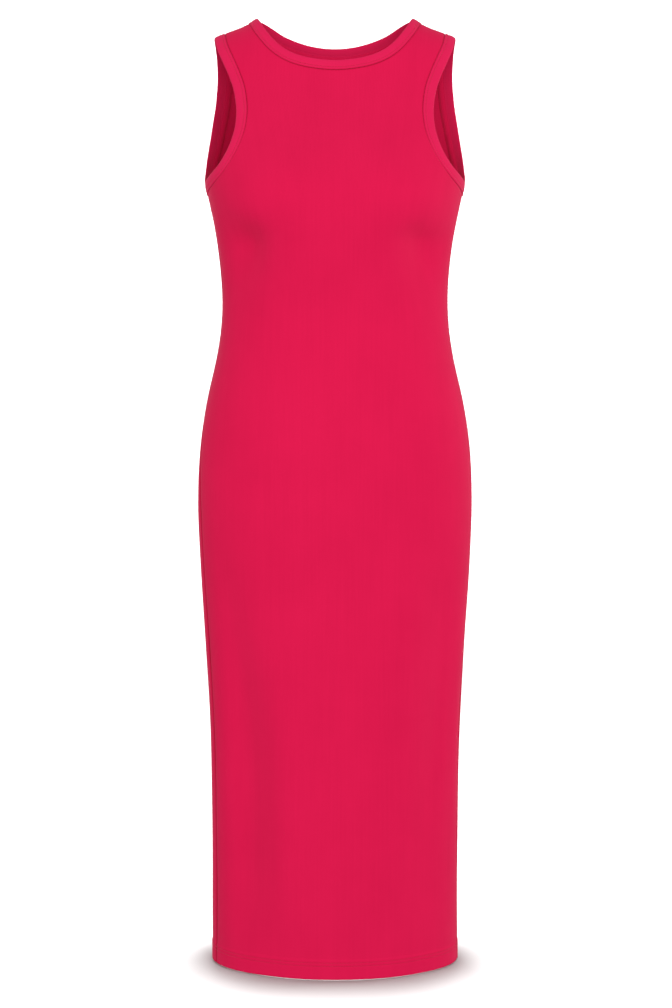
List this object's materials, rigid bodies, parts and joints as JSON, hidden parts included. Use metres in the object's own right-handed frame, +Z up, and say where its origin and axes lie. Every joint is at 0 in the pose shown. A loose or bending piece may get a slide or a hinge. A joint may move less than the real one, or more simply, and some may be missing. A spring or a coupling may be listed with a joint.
{
  "type": "bodycon dress",
  "caption": "Sleeveless close-fitting midi dress in stretch knit with a scoop neck, bound neck and armholes, hollow and open at neck, armholes and hem.",
  "frame": {"origin": "midway between the two shoulder straps at their mean height, where the wearer's shoulders hold the dress", "axes": "+Z up towards the neck, +X towards the wearer's left, +Y towards the back, so the front faces -Y"},
  "size_m": [0.3499, 0.2556, 1.1985],
  "materials": {
    "panel_knit": "soft matte fine double knit with faint upright wales",
    "band_knit": "the same knit folded double, topstitched along the seam"
  },
  "bodies": {
    "root": {"front_panel": "panel_knit", "back_panel": "panel_knit", "neck_band": "band_knit", "armhole_band_left": "band_knit", "armhole_band_right": "band_knit"}
  },
  "joints": []
}
